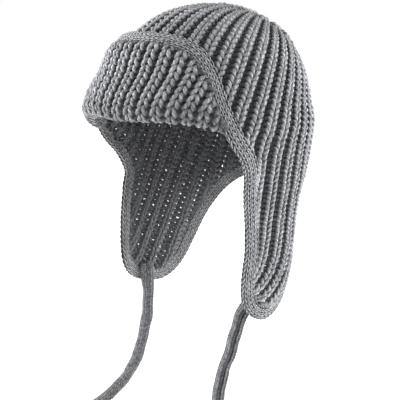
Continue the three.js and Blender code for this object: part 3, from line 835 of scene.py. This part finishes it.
class HAT_OT_ties(bpy.types.Operator):
    """Knits the two ties as tubes along their routes"""

    bl_idname = "hat.ties"
    bl_label = "Ties"

    def execute(self, context):
        trim = context.scene.hat_trim
        yarn = trim.tie_yarn / MM
        row = trim.tie_row / MM
        for name, route, groove in TIES:
            fine, worn = worn_line(route)
            length, at = path_frames(worn, np.tile(TIE_ACROSS, (len(fine), 1)), False)
            outline = oval(trim.tie_width / MM - yarn, trim.tie_thickness / MM - yarn, 2.2, groove)
            rows = np.arange(TIE_ENDS, length - TIE_ENDS, row)
            runs = tube_runs((length, at), rows, trim.tie_wales, outline, row, depth=0.6, seed=7,
                             size=tie_size, relief=0.5)
            piece = mesh_of_yarn(f"{name}_knit", runs, yarn / 2, **TIE_SHADING)
            finish_piece(piece, "worn_wool_yarn", name)
        return {"FINISHED"}


# Ways down from the drawn-in top, in millimetres: the first rows, the last, where all the ribs have been
# taken up, and where the crown's upper pieces end
FIRST_ROW = 2.4
SECOND_ROW = 6.4
LAST_ROW = 352
ALL_RIBS = 46
TOP_END = 66
UPPER_END = 118

# Runs wholly below this height belong to an ear flap
CROWN_LEVEL = -112

# The crown's greatest radius round its axis, and the rib pitch from which its stitches have their full size
WIDEST = 88
FULL_PITCH = 11

# From this way down on, the ear flaps' turn moves the points along the wall
TURNED = 100

# The crown's pieces, with the solids that they stand for
CROWN_PIECES = {
    "top": "crown",
    "upper": "crown",
    "lower": "crown",
    "ear_left": "ear_flap_left",
    "ear_right": "ear_flap_right",
}

# How far the cloth's middle stands off where it runs into the band, by the depth below the top
EDGE = np.array([
    (103, 2.4),
    (112, 1.2),
    (123, -1),
    (137, -2.6),
    (147, -3.2),
])


def edge_height(angle, z):
    """How far the cloth's middle stands off where it runs into the band at the lower edge."""
    front = np.interp(-z, EDGE[:, 0], EDGE[:, 1])
    return np.where(np.abs(angle) < 95, front, EDGE[-1, 1])


def ribs_at(ribs, way):
    """How many ribs there are a given way down: near the top they are drawn together two by two."""
    if way > ALL_RIBS:
        return ribs
    if way > 22:
        return ribs // 2
    return ribs // 4 if way > 5 else 4


def rib_angle(share):
    """The angle round the crown's axis by the share of its ribs: they lie wider apart on the left."""
    turn = 2 * np.pi * share
    return np.degrees(turn + 0.11 * np.sin(turn - np.radians(75)))


def ear_shape(angle, z):
    """The angle as the near ear flap hangs: straighter than the crown leans, and gathered at its tip."""
    drop = np.maximum(-90 - z, 0)
    drop = drop ** 2 / (drop + 45)
    fade = (1 - smooth((angle - 110) / 60)) * smooth((angle + 45) / 30)
    angle = angle + 0.565 * drop * fade
    angle = angle + 0.13 * smooth((-110 - z) / 60) * fade * (angle - 85)
    gather = 0.42 * smooth((-190 - z) / 60) * smooth((angle - 20) / 30)
    return angle + gather * (80 - angle)


def fullness(angle, z, way):
    """How thick the yarn lies: the cloth is a little open on the far side, and closer round the back."""
    close = 1 + 0.1 * smooth((np.abs(angle) - 105) / 25)
    close = close - 0.06 * smooth((-angle - 50) / 15) * smooth((z + 220) / 40)
    close = close + 0.08 * smooth((110 - way) / 40)
    if way < 20:
        return close * 1.3
    return close * 1.14 if way < ALL_RIBS else close


def calm_by_band(gap, band, reach):
    """How freely the stitches stand out, by the gap to the band's middle: sewn into it, they lie flat."""
    return 0.15 + 0.85 * smooth((gap - 0.3 * band) / reach)


def crown_course(knit, band, number, way):
    """One ring of the crown's and the ear flaps' stitches, and which of its points are cloth."""
    count = ribs_at(knit.ribs, way)
    rib, up, out, thick = ribbed_course(0, count, count, knit.knit_share, knit, number)
    pitch = 2 * np.pi * WIDEST * np.sin(min(way / QUARTER, 1) * np.pi / 2) / count
    scale = np.clip(pitch / FULL_PITCH, 0.6, 1)
    # Stitches drawn together two by two are wide, and lie as flat as the ones they come from
    out = out * (0.85 if way < ALL_RIBS else scale)
    down = np.maximum(way - knit.course / MM * up * min(1, way / 14), 0.3)
    base = knit_point(rib_angle(rib), down)
    angle, z = angle_of(base)
    angle = ear_shape(angle, z)
    if way >= TURNED:
        base = wall(angle, z)
    normal = outward(base)
    # Near the band the stitches calm down, and the cloth runs into the band's middle
    gap = to_band(base + EDGE[-1, 1] * normal)
    calm = calm_by_band(gap, band, 8)
    near = smooth((13 - gap) / 11) * smooth((-80 - z) / 12)
    height = near * edge_height(angle, z) - (1 - near) * knit.middle / MM + out * calm
    points = base + normal * height[:, None]
    thick = thick * fullness(angle, z, way) * (1.35 - 0.35 * calm)
    beside = np.abs(angle)
    keep = (z >= rim(angle)) | in_ear(angle, z) & (beside > EAR_FRONT)
    keep &= (gap > 0.15 * band) | (z > EAR_LEVEL) & (beside < EAR_FRONT)
    keep &= (beside > EAR_FRONT - 2) | (z > rim(angle) + 3)
    return course(points, thick * scale, normal, height), keep


def crown_part(run, ring, way):
    """The piece that a run of the crown's yarn belongs to."""
    if not ring and run[:, 2].mean() < CROWN_LEVEL:
        return "ear_left" if run[len(run) // 2, 0] > 0 else "ear_right"
    if way < TOP_END:
        return "top"
    return "upper" if way < UPPER_END else "lower"


class HAT_OT_crown(bpy.types.Operator):
    """Knits the crown and the ear flaps in rib, from the drawn-in top down to the band"""

    bl_idname = "hat.crown"
    bl_label = "Crown and ear flaps"

    def execute(self, context):
        knit = context.scene.hat_knit
        band = context.scene.hat_trim.band_width / MM
        runs = {part: [] for part in CROWN_PIECES}
        ways = np.concatenate([[FIRST_ROW], np.arange(SECOND_ROW, LAST_ROW, knit.course / MM)])
        for number, way in enumerate(ways):
            table, keep = crown_course(knit, band, number, way)
            for run, ring in kept_runs(table, keep, True):
                runs[crown_part(run, ring, way)].append((run, ring))
        for part, node in CROWN_PIECES.items():
            piece = mesh_of_yarn(f"{part}_knit", runs[part], knit.yarn / MM / 2, **RIB_SHADING)
            finish_piece(piece, "chunky_wool_yarn", node)
        return {"FINISHED"}


# The front flap: where its first row lies and its last, its ribs each side of the middle, their pitch and
# how far they are shifted, both in degrees
FLAP_START = 1.0
FLAP_LENGTH = 90
FLAP_RIBS = 11
FLAP_PITCH = 7.0
FLAP_SHIFT = 2.0

# Its fold: the radius, how high the axis lies above the hem, and how far the cloth stands off under it.
# Above it the cloth stands off by FLAP_OFF once it has settled.
FOLD = 5.7
FOLD_HEIGHT = 4.2 + FOLD
FOLD_OFF = 1.5
FLAP_OFF = 3.2
SETTLED = 28

# Up the outside a rib fans out by this many degrees a millimetre, and less where it is nearer to the
# middle than FAN_ANGLE. The cloth slopes, so SLOPE millimetres of it rise by one.
FAN = 0.306
FAN_ANGLE = 36
SLOPE = 1.03

# Its courses draw other stitches than the crown's
FLAP_SEED = 500


def hem_height(angle):
    """Height of the fold's lowest line by the angle."""
    return rim(angle) - 3.8


def flap_course(knit, band, number, way):
    """One course of the front flap, a given way along it from its hidden edge, and which of it is cloth."""
    rib, up, out, thick = ribbed_course(-FLAP_RIBS, FLAP_RIBS, 1, knit.flap_share, knit, FLAP_SEED + number)
    angle = rib * FLAP_PITCH - FLAP_SHIFT - FLAP_PITCH / 2
    run = way - knit.course / MM * up
    # Round the fold first, then up the outside, where the ribs fan out
    turn = np.clip(run / FOLD, 0, np.pi)
    rise = np.maximum(run - np.pi * FOLD, 0)
    fan = angle + FAN * rise * np.tanh(angle / FAN_ANGLE)
    level = hem_height(angle) + FOLD_HEIGHT + rise / SLOPE
    base = wall(fan, level)
    normal = outward(base)
    down = unit(wall(fan, level - 1) - base)
    settled = FOLD_OFF + FOLD - (FOLD - FLAP_OFF) * smooth(rise / SETTLED)
    height = np.where(rise > 0, settled, FOLD_OFF)
    face = -np.cos(turn)[:, None] * normal + np.sin(turn)[:, None] * down
    gap = to_band(base + BAND[0, 4] * normal)
    calm = calm_by_band(gap, band, 5) * (0.6 + 0.4 * smooth((run - np.pi * FOLD + 2) / 10))
    over = np.where(rise > 0, 0, FOLD) + out * calm
    points = base + normal * height[:, None] + face * over[:, None]
    beside = np.abs(fan)
    edge = np.where(fan >= 0, band_height(beside, 1), band_height(beside, -1))
    keep = (base[:, 2] < edge) & (gap > 0.15 * band) & (beside < 70)
    facing = np.where((rise > 0)[:, None], normal, face)
    return course(points, thick, facing, out * calm - knit.middle / MM), keep


class HAT_OT_flap(bpy.types.Operator):
    """Knits the turned-up front flap: under the crown's edge in a soft roll, then up the outside"""

    bl_idname = "hat.flap"
    bl_label = "Front flap"

    def execute(self, context):
        knit = context.scene.hat_knit
        band = context.scene.hat_trim.band_width / MM
        runs = []
        for number, way in enumerate(np.arange(FLAP_START, FLAP_LENGTH, knit.course / MM)):
            table, keep = flap_course(knit, band, number, way)
            runs += kept_runs(table, keep, False)
        piece = mesh_of_yarn("front_flap_knit", runs, knit.yarn / MM / 2, **RIB_SHADING)
        finish_piece(piece, "chunky_wool_yarn", "front_flap")
        return {"FINISHED"}


class HAT_OT_band(bpy.types.Operator):
    """Knits the smooth band along the hat's whole edge"""

    bl_idname = "hat.band"
    bl_label = "Edge band"

    def execute(self, context):
        trim = context.scene.hat_trim
        left = LINES[1][1]
        right = LINES[-1][1][::-1][1:-1]
        line = np.vstack([left, right])
        normal = outward(line)
        ahead = unit(np.roll(line, -1, axis=0) - np.roll(line, 1, axis=0))
        path = path_frames(line, np.cross(ahead, normal), True)
        yarn = trim.band_yarn / MM
        outline = oval(trim.band_width / MM - yarn, trim.band_thickness / MM - yarn, 3)
        row = trim.band_row / MM
        rows = np.arange(0, path[0] - 0.5 * row, row)
        runs = tube_runs(path, rows, trim.band_wales, outline, row, depth=0.85, seed=11, skew=0.3, count=12)
        half = len(runs) // 2
        for name, part in (("edge_band_left", runs[:half]), ("edge_band_right", runs[half:])):
            piece = mesh_of_yarn(name, part, yarn / 2, **BAND_SHADING)
            finish_piece(piece, "fine_wool_yarn", "edge_band")
        return {"FINISHED"}


# The floor's half width and how far it lies below the hat, and where the lamps aim, all in metres
FLOOR = 6
BELOW = 0.02
AIM = (0, 0, -0.15)

# Each lamp's name, place and width in metres, and its power in watts
LAMPS = (
    ("key", (0.1, -1.2, 0.95), 0.9, 3),
    ("right", (0.85, 1.1, 0.3), 1.0, 36),
    ("left", (-1.3, -1.0, 0.1), 1.1, 68),
)


class HAT_OT_stage(bpy.types.Operator):
    """Lays the pale floor and sets the soft studio light"""

    bl_idname = "hat.stage"
    bl_label = "Stage"

    def execute(self, context):
        finish = context.scene.hat_finish
        mesh = bpy.data.meshes.new("floor")
        shape = bmesh.new()
        bmesh.ops.create_grid(shape, x_segments=1, y_segments=1, size=FLOOR)
        bmesh.ops.translate(shape, verts=shape.verts, vec=(0, 0, CAD_BOX[0][2] - BELOW))
        shape.to_mesh(mesh)
        shape.free()
        floor = bpy.data.objects.new("floor", mesh)
        context.collection.objects.link(floor)
        # White photographic paper is matt, so the floor and the background run into each other
        paper = bpy.data.materials.new("studio_paper")
        paper.use_nodes = True
        shader = paper.node_tree.nodes["Principled BSDF"]
        shader.inputs["Base Color"].default_value = linear(finish.floor)
        shader.inputs["Roughness"].default_value = 0.9
        mesh.materials.append(paper)
        world = bpy.data.worlds.new("studio")
        world.use_nodes = True
        world.node_tree.nodes["Background"].inputs["Color"].default_value = (1, 1, 1, 1)
        world.node_tree.nodes["Background"].inputs["Strength"].default_value = 1.0
        context.scene.world = world
        context.scene.view_settings.view_transform = "Standard"
        for name, place, size, power in LAMPS:
            lamp = bpy.data.objects.new(name, bpy.data.lights.new(name, "AREA"))
            lamp.data.size = size
            lamp.data.energy = power
            lamp.location = place
            aim = Vector(AIM) - lamp.location
            lamp.rotation_euler = aim.to_track_quat("-Z", "Y").to_euler()
            context.collection.objects.link(lamp)
        return {"FINISHED"}


class HAT_PT_panel(bpy.types.Panel):
    """Shows the hat's operators and settings in the sidebar"""

    bl_idname = "HAT_PT_panel"
    bl_label = "Knitted trapper hat"
    bl_space_type = "VIEW_3D"
    bl_region_type = "UI"
    bl_category = "Hat"

    def draw(self, context):
        for operator in OPERATORS:
            self.layout.operator(operator.bl_idname)
        for group in (context.scene.hat_knit, context.scene.hat_trim, context.scene.hat_finish,
                      context.scene.hat_stage):
            box = self.layout.box()
            for name in group.bl_rna.properties.keys():
                if name not in ("rna_type", "name"):
                    box.prop(group, name)


GROUPS = {"hat_knit": HatKnit, "hat_trim": HatTrim, "hat_finish": HatFinish, "hat_stage": HatStage}
OPERATORS = (HAT_OT_camera, HAT_OT_ties, HAT_OT_crown, HAT_OT_flap, HAT_OT_band, HAT_OT_stage)


def register():
    """Makes the settings, the operators and the panel known to Blender."""
    for group in GROUPS.values():
        bpy.utils.register_class(group)
    for operator in OPERATORS:
        bpy.utils.register_class(operator)
    bpy.utils.register_class(HAT_PT_panel)
    for name, group in GROUPS.items():
        setattr(bpy.types.Scene, name, bpy.props.PointerProperty(type=group))


def unregister():
    """Takes them out again."""
    for name in GROUPS:
        delattr(bpy.types.Scene, name)
    bpy.utils.unregister_class(HAT_PT_panel)
    for operator in reversed(OPERATORS):
        bpy.utils.unregister_class(operator)
    for group in reversed(GROUPS.values()):
        bpy.utils.unregister_class(group)


def main():
    """Builds the hat and its stage."""
    register()
    bpy.ops.hat.camera()
    bpy.ops.hat.ties()
    bpy.ops.hat.crown()
    bpy.ops.hat.flap()
    bpy.ops.hat.band()
    bpy.ops.hat.stage()


if __name__ == "__main__":
    main()
